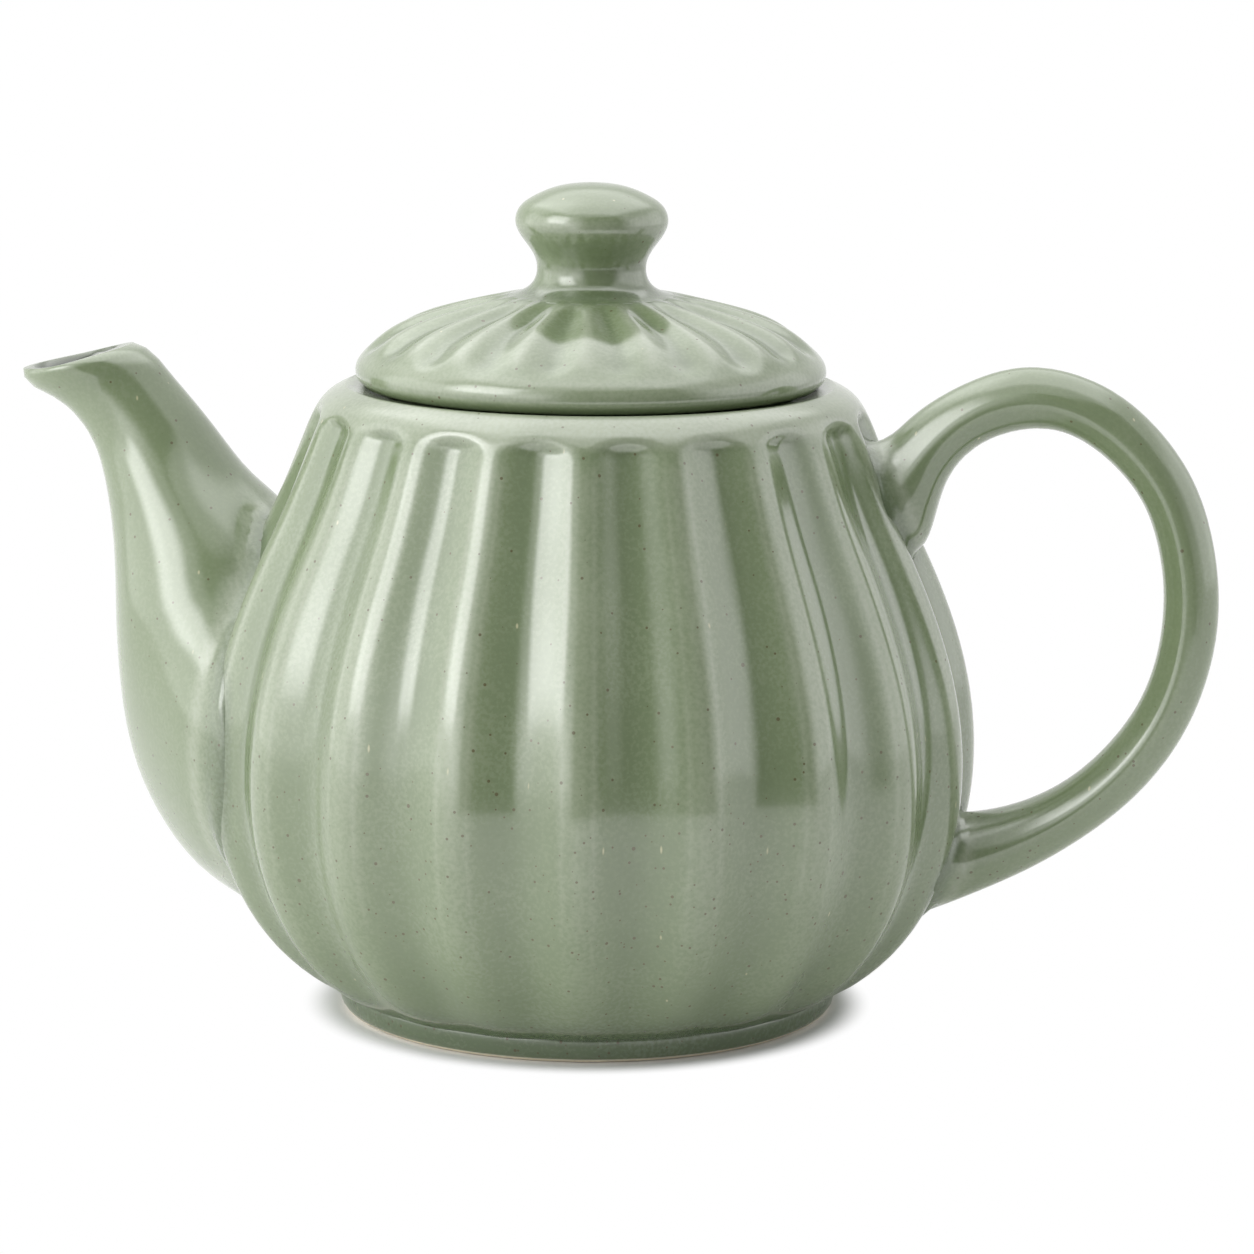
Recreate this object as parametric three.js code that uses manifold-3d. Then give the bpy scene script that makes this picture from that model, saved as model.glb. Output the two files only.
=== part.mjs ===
// Fluted ceramic teapot: a pot and a lid, each made of the pieces that a potter forms and joins.
// Millimetres, +Z up, +X towards the handle and -X towards the spout. The origin is on the table,
// midway between the spout's lip and the handle's outer side.

import * as THREE from "three";
import { mergeVertices } from "three/addons/utils/BufferGeometryUtils.js";
import Module from "manifold-3d";

const wasm = await Module();
wasm.setup();

// Clearances
const SEAT_GAP = 0.3; // between two pieces that touch
const LID_PLAY = 0.6; // round the lid's rim and its flange
const OVERRUN = 2; // how far a cut runs past the face that it opens

// Flutes
const FLUTE_COUNT = 20;
const FLUTE_DEPTH = 3; // at the pot's widest place
const RIDGE_SHARE = 1 / 3; // of a flute's pitch, taken by the ridge
const POT_SAMPLES = 6; // facets across one flute of the pot
const LID_SAMPLES = 4;

// Pot
const POT_RADIUS = 72.6; // to the crest of a ridge at the belly
const RIM_HEIGHT = 117.6; // top of the shoulder above the table
const WALL = 3; // thickness behind a flute's deepest line
const FLOOR_THICKNESS = 5;
const RIM_LAND = 1; // level edge between the shoulder and the lid's gap
const SEAT_WIDTH = 7.1; // from the lid's gap in to the opening
const SEAT_DROP = 0.6; // depth of the step that the lid's rim stands in
const SEAT_THICKNESS = 4; // of the lid's seat at its inner edge
const FLUTE_START = 1; // height of the plain edge under the flutes
const FLUTE_RUN_IN = 7; // height over which a flute reaches its full depth at the foot
const SHOULDER_HEIGHT = 3.5; // plain band above the flutes
const FLUTE_ARCH = 6; // height over which a flute's round top closes

// Foot ring
const FOOT_RADIUS = 46.2;
const FOOT_HEIGHT = 3.6;
const FOOT_WIDTH = 7;
const FOOT_BEVEL = 1.2;

// Spout
const SPOUT_PROJECTION = 36.2; // from the belly's widest place to the lip
const SPOUT_HALF_WIDTH = 32.5; // at its wide base
const SPOUT_WALL = 2.8;
const LIP_ROUND = 1.3;
const PORT_RADIUS = 14;
const STRAINER_THICKNESS = 2.6;
const STRAINER_HOLE_RADIUS = 1.6;
const STRAINER_PITCH = 5.6;
const STRAINER_RINGS = 2;

// Handle
const HANDLE_PROJECTION = 44.2; // from the belly's widest place to the handle's outer side
const HANDLE_HALF_WIDTH = 6.2;

// Lid
const LID_RADIUS = 43.5;
const DOME_HEIGHT = 17.1;
const DOME_THICKNESS = 3.8;
const LID_FLUTE_DEPTH = 1.1;
const FLANGE_THICKNESS = 3.2;
const FLANGE_DEPTH = 9;
const FLANGE_BEVEL = 0.8;
const VENT_RADIUS = 1.5;
const RIM_ROLL_SHARE = 0.36; // of the dome's height, taken by its plain rolled rim
const LID_RUN_IN_SHARE = 1 / 8; // of the dome, over which its flutes reach their full depth
const KNOB_RADIUS = 14.1;
const KNOB_HEIGHT = 20.1;
const PAD_EDGE = 0.5; // level edge of the dome round the knob's base

// Facets of the round pieces
const ROUND_SEGMENTS = 60;
const SMALL_SEGMENTS = 36;
const HOLE_SEGMENTS = 8;
const POT_RINGS = 13;

// Heights and radii that the pieces share
const POT_BASE = FOOT_HEIGHT + SEAT_GAP;
const SEAT_HEIGHT = RIM_HEIGHT - SEAT_DROP;
const SEAT_ROOT = SEAT_HEIGHT - 2 * SEAT_THICKNESS;
const LID_BASE = SEAT_HEIGHT + SEAT_GAP;
const KNOB_BASE = LID_BASE + DOME_HEIGHT + SEAT_GAP;
const FLUTE_TOP = RIM_HEIGHT - SHOULDER_HEIGHT;
const RECESS_RADIUS = LID_RADIUS + LID_PLAY;
const RIM_RADIUS = RECESS_RADIUS + RIM_LAND;
const OPENING_RADIUS = RECESS_RADIUS - SEAT_WIDTH;

// Outlines as shares of the sizes that they follow. The pot's: the way out to the belly, from the
// foot's radius up to the widest place and from the rim's above it, and the height of the pot's body
const potOutlineShares = [
  [0.015, 0],
  [0.269, 0.036],
  [0.576, 0.106],
  [0.807, 0.194],
  [0.956, 0.3],
  [1, 0.405],
  [0.953, 0.511],
  [0.829, 0.617],
  [0.651, 0.722],
  [0.444, 0.828],
  [0.295, 0.916],
  [0.225, 0.955],
  [0.135, 0.982],
];
// The way out from the knob's pad to LID_RADIUS, and the height of DOME_HEIGHT
const domeOutlineShares = [
  [0.946, 0],
  [0.993, 0.117],
  [0.997, 0.23],
  [0.936, 0.37],
  [0.792, 0.585],
  [0.593, 0.749],
  [0.369, 0.86],
  [0.127, 0.96],
  [0, 1],
];
// Radius of KNOB_RADIUS, height of KNOB_HEIGHT
const knobOutlineShares = [
  [0.93, 0],
  [0.76, 0.1],
  [0.715, 0.215],
  [0.75, 0.33],
  [0.9, 0.46],
  [0.99, 0.58],
  [0.993, 0.69],
  [0.91, 0.81],
  [0.7, 0.905],
  [0.36, 0.98],
];
// Distance past the belly, of the spout's projection, and height, of RIM_HEIGHT, for the spout's
// lower edge and the edge that faces the pot, from its base to its lip
const spoutUnderShares = [
  [-0.35, 0.12],
  [-0.1, 0.162],
  [0.115, 0.215],
  [0.29, 0.287],
  [0.425, 0.39],
  [0.48, 0.51],
  [0.49, 0.645],
  [0.515, 0.757],
  [0.565, 0.842],
  [0.64, 0.895],
  [0.76, 0.938],
  [1, 0.985],
];
const spoutUpperShares = [
  [-0.62, 0.24],
  [-0.61, 0.33],
  [-0.62, 0.42],
  [-0.62, 0.53],
  [-0.6, 0.63],
  [-0.49, 0.715],
  [-0.34, 0.785],
  [-0.175, 0.842],
  [-0.025, 0.902],
  [0.105, 0.955],
  [0.23, 1.002],
  [0.365, 1.043],
];
// Half the spout's width at those places, of SPOUT_HALF_WIDTH
const spoutWidthShares = [0.62, 0.84, 0.97, 1, 0.92, 0.75, 0.56, 0.425, 0.345, 0.315, 0.32, 0.355];
// The same for the handle's outer and inner edges, from its upper root to its lower one
const handleOuterShares = [
  [-0.58, 0.915],
  [-0.39, 0.93],
  [-0.305, 0.958],
  [-0.195, 0.991],
  [0.005, 1.029],
  [0.256, 1.045],
  [0.7, 0.963],
  [0.94, 0.82],
  [1, 0.672],
  [0.925, 0.525],
  [0.7, 0.385],
  [0.35, 0.276],
  [0.11, 0.226],
  [-0.18, 0.177],
  [-0.37, 0.155],
];
const handleInnerShares = [
  [-0.47, 0.735],
  [-0.24, 0.755],
  [-0.181, 0.812],
  [-0.122, 0.878],
  [0.045, 0.935],
  [0.258, 0.951],
  [0.584, 0.884],
  [0.74, 0.776],
  [0.771, 0.673],
  [0.724, 0.57],
  [0.579, 0.465],
  [0.213, 0.356],
  [0.07, 0.333],
  [-0.02, 0.333],
  [-0.29, 0.335],
];
const handleWidthShares = [1.3, 1.25, 1.08, 1, 0.97, 0.95, 0.95, 0.95, 0.95, 0.95, 1, 1.08, 1.25, 1.55, 1.75];

// Share of a flute's depth at a place across its pitch: 0 on the ridge's crest, 1 mid-flute.
function fluteShare(place) {
  const fromRidge = Math.abs(place - Math.round(place));
  const ridgeHalf = RIDGE_SHARE / 2;
  const fluteHalf = (1 - RIDGE_SHARE) / 2;
  if (fromRidge < ridgeHalf) return RIDGE_SHARE * (fromRidge / ridgeHalf) ** 2;
  return 1 - (1 - RIDGE_SHARE) * ((1 / 2 - fromRidge) / fluteHalf) ** 2;
}

// Share of the full flute depth at a height of the pot: a run-in at the foot and a round arch on top.
function fluteRun(height) {
  const up = (height - POT_BASE - FLUTE_START) / FLUTE_RUN_IN;
  const down = (FLUTE_TOP - height) / FLUTE_ARCH;
  const nearest = THREE.MathUtils.clamp(Math.min(up, down), 0, 1);
  return Math.sin((nearest * Math.PI) / 2);
}

// Points of a smooth curve through shares: across from an inner to an outer radius, up from a base.
function outline(shares, inner, outer, base, height, count) {
  const places = shares.map(
    ([across, up]) => new THREE.Vector2(inner + (outer - inner) * across, base + height * up),
  );
  return new THREE.SplineCurve(places).getPoints(count);
}

// Half section of the pot from its base to its shoulder, along a ridge's crest.
function potOutline() {
  const belly = potOutlineShares.findIndex(([share]) => share === 1);
  const places = potOutlineShares.map(([share, up], i) => {
    const inner = i < belly ? FOOT_RADIUS : RIM_RADIUS;
    return new THREE.Vector2(inner + (POT_RADIUS - inner) * share, POT_BASE + (RIM_HEIGHT - POT_BASE) * up);
  });
  return new THREE.SplineCurve(places).getPoints(POT_RINGS);
}

// A closed skin over rings of equally many points, with a fan over each end.
function skin(rings) {
  const count = rings[0].length;
  const last = rings.length - 1;
  const points = rings.flat();
  const index = [];
  for (let i = 0; i < last; i++) {
    for (let j = 0; j < count; j++) {
      const a = i * count + j;
      const b = i * count + ((j + 1) % count);
      index.push(a, b, b + count, a, b + count, a + count);
    }
  }
  const bottom = points.length;
  const top = bottom + 1;
  for (const ring of [rings[0], rings[last]]) {
    const sum = ring.reduce((total, point) => total.add(point), new THREE.Vector3());
    points.push(sum.divideScalar(count));
  }
  for (let j = 0; j < count; j++) {
    const next = (j + 1) % count;
    index.push(bottom, next, j, top, last * count + j, last * count + next);
  }
  return new THREE.BufferGeometry().setFromPoints(points).setIndex(index);
}

// A turned form whose radius sinks into flutes, ridges lying either side of the X axis.
function fluted(profile, samples, depthAt) {
  const columns = FLUTE_COUNT * samples;
  const rings = profile.map(({ x: radius, y: height }) => {
    const depth = depthAt(radius, height);
    return Array.from({ length: columns }, (_, j) => {
      const angle = (j / columns) * 2 * Math.PI;
      const reach = radius - depth.inward * fluteShare(j / samples + 1 / 2);
      const drop = depth.down * fluteShare(j / samples + 1 / 2);
      return new THREE.Vector3(reach * Math.cos(angle), reach * Math.sin(angle), height - drop);
    });
  });
  return skin(rings);
}

// A turned form, its profile given as [radius, height] pairs that close on the axis or on themselves.
function turned(pairs, segments) {
  const profile = pairs.map(([radius, height]) => new THREE.Vector2(radius, height));
  return new THREE.LatheGeometry(profile, segments).rotateX(Math.PI / 2);
}

// Rings of a curved limb in the XZ plane: each spans its outer and inner edge and its width.
// side is 1 towards +X and -1 towards -X, and wall is how far the rings lie inside the limb's skin.
function limbRings({ outer, inner, widths, projection, halfWidth, side, steps, sides, wall }) {
  const edge = (shares) => {
    const places = shares.map(
      ([past, up]) => new THREE.Vector3(side * (POT_RADIUS + projection * past), 0, RIM_HEIGHT * up),
    );
    return new THREE.CatmullRomCurve3(places);
  };
  const outerEdge = edge(outer);
  const innerEdge = edge(inner);
  const width = new THREE.SplineCurve(widths.map((share, i) => new THREE.Vector2(i, halfWidth * share)));
  return Array.from({ length: steps + 1 }, (_, i) => {
    const from = innerEdge.getPoint(i / steps);
    const to = outerEdge.getPoint(i / steps);
    const across = to.clone().sub(from).normalize();
    const centre = to.clone().add(from).divideScalar(2);
    const halfHeight = to.distanceTo(from) / 2 - wall;
    return ellipse(centre, across, halfHeight, width.getPoint(i / steps).y - wall, sides);
  });
}

// An ellipse about a centre, one half axis along across and the other along -Y.
function ellipse(centre, across, halfHeight, halfWidth, sides) {
  return Array.from({ length: sides }, (_, j) => {
    const angle = (j / sides) * 2 * Math.PI;
    const point = centre.clone().addScaledVector(across, halfHeight * Math.cos(angle));
    point.y -= halfWidth * Math.sin(angle);
    return point;
  });
}

// A ring moved along its normal and drawn in towards its centre.
function offsetRing(ring, along, drawnIn) {
  const centre = ring.reduce((sum, p) => sum.add(p), new THREE.Vector3()).divideScalar(ring.length);
  const quarter = ring[Math.round(ring.length / 4)].clone().sub(centre);
  const normal = ring[0].clone().sub(centre).cross(quarter).normalize();
  return ring.map((point) => {
    const radial = point.clone().sub(centre);
    radial.setLength(radial.length() - drawnIn);
    return centre.clone().add(radial).addScaledVector(normal, along);
  });
}

function solid(geometry) {
  const bare = geometry.clone();
  bare.deleteAttribute("normal");
  bare.deleteAttribute("uv");
  const merged = mergeVertices(bare);
  const vertProperties = new Float32Array(merged.attributes.position.array);
  const triVerts = new Uint32Array(merged.index.array);
  return new wasm.Manifold(new wasm.Mesh({ numProp: 3, vertProperties, triVerts }));
}

function geometryOf(made) {
  const { vertProperties, triVerts } = made.getMesh();
  return new THREE.BufferGeometry()
    .setAttribute("position", new THREE.BufferAttribute(vertProperties, 3))
    .setIndex(new THREE.BufferAttribute(triVerts, 1));
}

// Outer form of the pot, grown by a margin, as a closed solid.
function potForm(margin) {
  const profile = [...potOutline(), new THREE.Vector2(RIM_RADIUS, RIM_HEIGHT)];
  const grown = profile.map((p) => new THREE.Vector2(p.x + margin, p.y));
  const depth = (radius, height) => ({
    inward: (FLUTE_DEPTH * radius * fluteRun(height)) / POT_RADIUS,
    down: 0,
  });
  return solid(fluted(grown, POT_SAMPLES, depth));
}

// Hollow of the pot: a smooth inside up to the mouth that the lid's seat and the lid stand in.
function potHollow() {
  const floor = POT_BASE + FLOOR_THICKNESS;
  const skinDepth = WALL + FLUTE_DEPTH;
  const side = potOutline()
    .map((p) => [p.x - skinDepth, p.y])
    .filter(([, height]) => height > floor + skinDepth && height < SEAT_ROOT - SEAT_THICKNESS);
  return solid(
    turned(
      [
        [0, floor],
        [FOOT_RADIUS, floor],
        ...side,
        [RECESS_RADIUS, SEAT_ROOT],
        [RECESS_RADIUS, RIM_HEIGHT + OVERRUN],
        [0, RIM_HEIGHT + OVERRUN],
      ],
      ROUND_SEGMENTS,
    ),
  );
}

// Height of the belly's widest place, where the port lies in an upright wall.
const PORT_HEIGHT = POT_BASE + (RIM_HEIGHT - POT_BASE) * potOutlineShares.find(([r]) => r === 1)[1];
// Outer face of the strainer, level with the wall's deepest flute line
const STRAINER_FACE = POT_RADIUS - FLUTE_DEPTH - WALL / 3;

function makePotBody() {
  const port = new THREE.CylinderGeometry(PORT_RADIUS, PORT_RADIUS, POT_RADIUS, SMALL_SEGMENTS);
  port.rotateZ(Math.PI / 2).translate(-POT_RADIUS, 0, PORT_HEIGHT);
  return geometryOf(potForm(0).subtract(potHollow()).subtract(solid(port)));
}

// The ring inside the mouth that the lid's rim rests on.
function makeLidSeat() {
  const outside = RECESS_RADIUS - SEAT_GAP;
  return turned(
    [
      [OPENING_RADIUS, SEAT_HEIGHT],
      [OPENING_RADIUS, SEAT_HEIGHT - SEAT_THICKNESS],
      [outside, SEAT_ROOT],
      [outside, SEAT_HEIGHT],
      [OPENING_RADIUS, SEAT_HEIGHT],
    ],
    ROUND_SEGMENTS,
  );
}

function makeFootRing() {
  const inside = FOOT_RADIUS - FOOT_WIDTH;
  return turned(
    [
      [inside, FOOT_HEIGHT],
      [inside + FOOT_BEVEL, 0],
      [FOOT_RADIUS - FOOT_BEVEL, 0],
      [FOOT_RADIUS - FOOT_BEVEL / 2, FOOT_BEVEL],
      [FOOT_RADIUS, FOOT_HEIGHT],
      [inside, FOOT_HEIGHT],
    ],
    ROUND_SEGMENTS,
  );
}

function makeSpout() {
  const limb = {
    outer: spoutUnderShares,
    inner: spoutUpperShares,
    widths: spoutWidthShares,
    projection: SPOUT_PROJECTION,
    halfWidth: SPOUT_HALF_WIDTH,
    side: -1,
    steps: 15,
    sides: 24,
  };
  const outside = limbRings({ ...limb, wall: 0 });
  const lip = outside.at(-1);
  outside.push(offsetRing(lip, LIP_ROUND * Math.SQRT1_2, LIP_ROUND * (1 - Math.SQRT1_2)));
  outside.push(offsetRing(lip, LIP_ROUND, LIP_ROUND));
  const channel = limbRings({ ...limb, wall: SPOUT_WALL });
  channel.push(offsetRing(channel.at(-1), LIP_ROUND + OVERRUN, -LIP_ROUND));
  return geometryOf(solid(skin(outside)).subtract(potForm(SEAT_GAP)).subtract(solid(skin(channel))));
}

function circle(x, y, radius, segments) {
  return Array.from({ length: segments }, (_, i) => {
    const angle = (i / segments) * 2 * Math.PI;
    return new THREE.Vector2(x + radius * Math.cos(angle), y + radius * Math.sin(angle));
  });
}

// A flat perforated disc in the port, its holes on rings about a middle one.
function makeStrainer() {
  const disc = new THREE.Shape(circle(0, 0, PORT_RADIUS - SEAT_GAP, SMALL_SEGMENTS));
  for (let ring = 0; ring <= STRAINER_RINGS; ring++) {
    const count = Math.max(1, ring * 6);
    for (let k = 0; k < count; k++) {
      const angle = (k / count) * 2 * Math.PI;
      const x = ring * STRAINER_PITCH * Math.cos(angle);
      const y = ring * STRAINER_PITCH * Math.sin(angle);
      disc.holes.push(new THREE.Path(circle(x, y, STRAINER_HOLE_RADIUS, HOLE_SEGMENTS)));
    }
  }
  const made = new THREE.ExtrudeGeometry(disc, { depth: STRAINER_THICKNESS, bevelEnabled: false });
  return made.rotateY(Math.PI / 2).translate(-STRAINER_FACE, 0, PORT_HEIGHT);
}

function makeHandle() {
  const rings = limbRings({
    outer: handleOuterShares,
    inner: handleInnerShares,
    widths: handleWidthShares,
    projection: HANDLE_PROJECTION,
    halfWidth: HANDLE_HALF_WIDTH,
    side: 1,
    steps: 42,
    sides: 16,
    wall: 0,
  });
  return geometryOf(solid(skin(rings)).subtract(potForm(SEAT_GAP)));
}

// The lid's dome: flutes on top between the knob and the rolled rim, hollow beneath.
function makeLidDome() {
  const pad = KNOB_RADIUS * knobOutlineShares[0][0] + PAD_EDGE;
  const profile = outline(domeOutlineShares, pad, LID_RADIUS, LID_BASE, DOME_HEIGHT, 10);
  const depth = (radius, height) => {
    const rise = (height - LID_BASE) / DOME_HEIGHT - RIM_ROLL_SHARE;
    const inside = (radius - pad) / (LID_RADIUS - pad);
    const share = THREE.MathUtils.clamp(Math.min(rise, inside) / LID_RUN_IN_SHARE, 0, 1);
    return { inward: 0, down: LID_FLUTE_DEPTH * share };
  };
  const hollowRadius = OPENING_RADIUS - LID_PLAY - FLANGE_THICKNESS - LID_PLAY;
  const under = profile.map((p) => [p.x, p.y - DOME_THICKNESS]).filter(([radius]) => radius < hollowRadius);
  const crown = LID_BASE + DOME_HEIGHT - DOME_THICKNESS;
  const hollow = turned(
    [
      [0, LID_BASE - OVERRUN],
      [hollowRadius, LID_BASE - OVERRUN],
      [hollowRadius, under[0][1] - DOME_THICKNESS / 2],
      ...under,
      [0, crown],
    ],
    SMALL_SEGMENTS,
  );
  const vent = new THREE.CylinderGeometry(VENT_RADIUS, VENT_RADIUS, DOME_HEIGHT, HOLE_SEGMENTS);
  vent.rotateX(Math.PI / 2).translate(0, (pad + hollowRadius) / 2, crown);
  return geometryOf(solid(fluted(profile, LID_SAMPLES, depth)).subtract(solid(hollow)).subtract(solid(vent)));
}

function makeLidFlange() {
  const outside = OPENING_RADIUS - LID_PLAY;
  const inside = outside - FLANGE_THICKNESS;
  const top = LID_BASE - SEAT_GAP;
  const bottom = top - FLANGE_DEPTH;
  return turned(
    [
      [inside, top],
      [inside, bottom + FLANGE_BEVEL],
      [inside + FLANGE_BEVEL, bottom],
      [outside - FLANGE_BEVEL, bottom],
      [outside, bottom + FLANGE_BEVEL],
      [outside, top],
      [inside, top],
    ],
    ROUND_SEGMENTS,
  );
}

function makeLidKnob() {
  const side = outline(knobOutlineShares, 0, KNOB_RADIUS, KNOB_BASE, KNOB_HEIGHT, 12);
  const pairs = side.map((p) => [p.x, p.y]);
  return turned([[0, KNOB_BASE], ...pairs, [0, KNOB_BASE + KNOB_HEIGHT]], SMALL_SEGMENTS);
}

const glaze = { color: 0x9aa88c, roughness: 0.12, metalness: 0 };
const innerGlaze = { color: 0xa6b297, roughness: 0.15, metalness: 0 };
const footClay = { color: 0x959e83, roughness: 0.35, metalness: 0 };

function piece(name, geometry, finish) {
  geometry.computeVertexNormals();
  const mesh = new THREE.Mesh(geometry, new THREE.MeshStandardMaterial(finish));
  mesh.name = name;
  return mesh;
}

const pot = new THREE.Group();
pot.add(
  piece("pot_body", makePotBody(), glaze),
  piece("lid_seat", makeLidSeat(), innerGlaze),
  piece("foot_ring", makeFootRing(), footClay),
  piece("spout", makeSpout(), glaze),
  piece("strainer", makeStrainer(), innerGlaze),
  piece("handle", makeHandle(), glaze),
);

const lid = new THREE.Group();
lid.add(
  piece("lid_dome", makeLidDome(), glaze),
  piece("lid_flange", makeLidFlange(), innerGlaze),
  piece("lid_knob", makeLidKnob(), glaze),
);

const teapot = new THREE.Group();
teapot.position.x = (SPOUT_PROJECTION - HANDLE_PROJECTION) / 2;
teapot.add(pot, lid);

export default teapot;
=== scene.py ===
"""Looks of a fluted celadon teapot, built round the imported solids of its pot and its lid.

Sizes are millimetres from the pot's axis and the table: +X points to the handle, -X to the spout
and -Y to the viewer. Each finished mesh is then put in metres in the model's own frame.
"""

import logging
import math
from dataclasses import dataclass
from enum import Enum
from typing import Callable, Sequence

import bpy
import numpy as np
from mathutils import Matrix, Vector
from mathutils.bvhtree import BVHTree


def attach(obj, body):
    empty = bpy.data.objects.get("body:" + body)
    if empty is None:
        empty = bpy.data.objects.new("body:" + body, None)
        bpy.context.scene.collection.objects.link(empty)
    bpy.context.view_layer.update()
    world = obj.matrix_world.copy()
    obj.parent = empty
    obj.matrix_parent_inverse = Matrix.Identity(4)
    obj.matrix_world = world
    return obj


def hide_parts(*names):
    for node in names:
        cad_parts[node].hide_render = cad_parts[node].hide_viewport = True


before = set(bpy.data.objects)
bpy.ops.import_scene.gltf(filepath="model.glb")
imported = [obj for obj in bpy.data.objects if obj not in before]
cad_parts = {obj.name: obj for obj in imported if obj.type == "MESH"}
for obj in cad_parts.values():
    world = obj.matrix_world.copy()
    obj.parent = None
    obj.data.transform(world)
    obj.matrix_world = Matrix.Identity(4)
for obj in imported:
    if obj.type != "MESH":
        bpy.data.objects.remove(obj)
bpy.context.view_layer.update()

MM = 0.001
AXIS_X = -4.0  # where the pot's axis stands in the model's frame
FLUTES = 20
PITCH = 360 / FLUTES  # degrees from one flute to the next
RIDGE = PITCH / 2  # degrees from a flute's middle to the ridge beside it
# The roll of a lip, in shares of its thickness: how far over towards the channel, how high
LIP = ((0.04, 0.18), (0.14, 0.32), (0.3, 0.41), (0.5, 0.44), (0.7, 0.4), (0.86, 0.3), (0.96, 0.16))
LIP_RINGS = len(LIP)
MERGE = 0.002  # vertices nearer to each other than this become one
GLAZE_IOR = 2.0
NOISE_SPAN = (0.3, 0.7)  # the part of a noise texture's values that shows
# Specks: their name, the texture's scale, the largest radius in a cell and the share of cells
SPECKS = (("fine", 700.0, 0.24, 0.9), ("bold", 300.0, 0.14, 0.5))
log = logging.getLogger("teapot")

Color = tuple[float, float, float]
Place = tuple[float, float, float]
Span = tuple[float, float]
Rows = Sequence[tuple[float, ...]]


class Slot(Enum):
    """Two of the record's material slots, which nothing here reads."""

    GLAZE = "celadon_glaze"
    FOOT = "foot_clay"


class Body(Enum):
    """The bodies that pieces move with."""

    POT = "pot"
    LID = "lid"


# Shapes


def smooth_path(points: Rows, count: int) -> np.ndarray:
    """Samples a smooth curve that passes through every point.

    Args:
        points: The points, each with the same number of values.
        count: How many samples to take, evenly along the chord.

    Returns:
        An array of count rows.
    """
    knots = np.asarray(points, float)
    chord = np.linalg.norm(np.diff(knots, axis=0), axis=1)
    at = np.concatenate([[0.0], np.cumsum(chord)])
    system = np.eye(len(knots))
    change = np.zeros_like(knots)
    for i in range(1, len(knots) - 1):
        before, after = chord[i - 1], chord[i]
        system[i, i - 1 : i + 2] = before, 2 * (before + after), after
        change[i] = 6 * ((knots[i + 1] - knots[i]) / after - (knots[i] - knots[i - 1]) / before)
    bend = np.linalg.solve(system, change)
    where = np.linspace(0, at[-1], count)
    i = np.clip(np.searchsorted(at, where, side="right") - 1, 0, len(knots) - 2)
    span = chord[i][:, None]
    left = (at[i + 1] - where)[:, None]
    right = (where - at[i])[:, None]
    cubic = (bend[i] * left**3 + bend[i + 1] * right**3) / (6 * span)
    near = (knots[i] / span - bend[i] * span / 6) * left
    far = (knots[i + 1] / span - bend[i + 1] * span / 6) * right
    return cubic + near + far


def ramp(values: np.ndarray, low: float, high: float) -> np.ndarray:
    """Returns a soft step from 0 at low to 1 at high."""
    share = np.clip((values - low) / (high - low), 0, 1)
    return share * share * (3 - 2 * share)


def bell(values: np.ndarray, middle: float, width: float) -> np.ndarray:
    """Returns a soft bump that is 1 at its middle and near 0 two widths from it."""
    return np.exp(-(((values - middle) / width) ** 2))


def flute_share(place: np.ndarray, beyond: np.ndarray) -> np.ndarray:
    """Gives how far a scooped flute has sunk at a place across it.

    Args:
        place: Angle in pitches of one flute, whole numbers lying mid-flute.
        beyond: How far past the start of the flute's round end a place lies, 1 at its tip.

    Returns:
        Shares of the full depth: 1 mid-flute, 0 on the crest of a ridge and past the round end.
    """
    across = 2 * np.abs(place - np.round(place))
    out = np.minimum(np.hypot(across, np.maximum(beyond, 0)), 1)
    return (1 + np.cos(math.pi * out)) / 2


def off_flute(points: np.ndarray) -> np.ndarray:
    """Returns how many degrees each point lies from the middle of its flute."""
    turn = np.degrees(np.arctan2(points[:, 1], points[:, 0])) / PITCH
    return np.abs(turn - np.round(turn)) * PITCH


def select_only(piece: bpy.types.Object) -> None:
    """Leaves one object selected and active, in object mode.

    Args:
        piece: The object.
    """
    bpy.ops.object.select_all(action="DESELECT")
    piece.select_set(True)
    bpy.context.view_layer.objects.active = piece


def start_point(name: str) -> bpy.types.Object:
    """Starts a piece as one vertex at the origin, in edit mode.

    Args:
        name: The piece's name.

    Returns:
        The piece.
    """
    bpy.ops.object.select_all(action="DESELECT")
    bpy.ops.mesh.primitive_plane_add(size=1)
    piece = bpy.context.active_object
    piece.name = name
    bpy.ops.object.mode_set(mode="EDIT")
    bpy.ops.mesh.merge(type="CENTER")
    return piece


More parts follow.
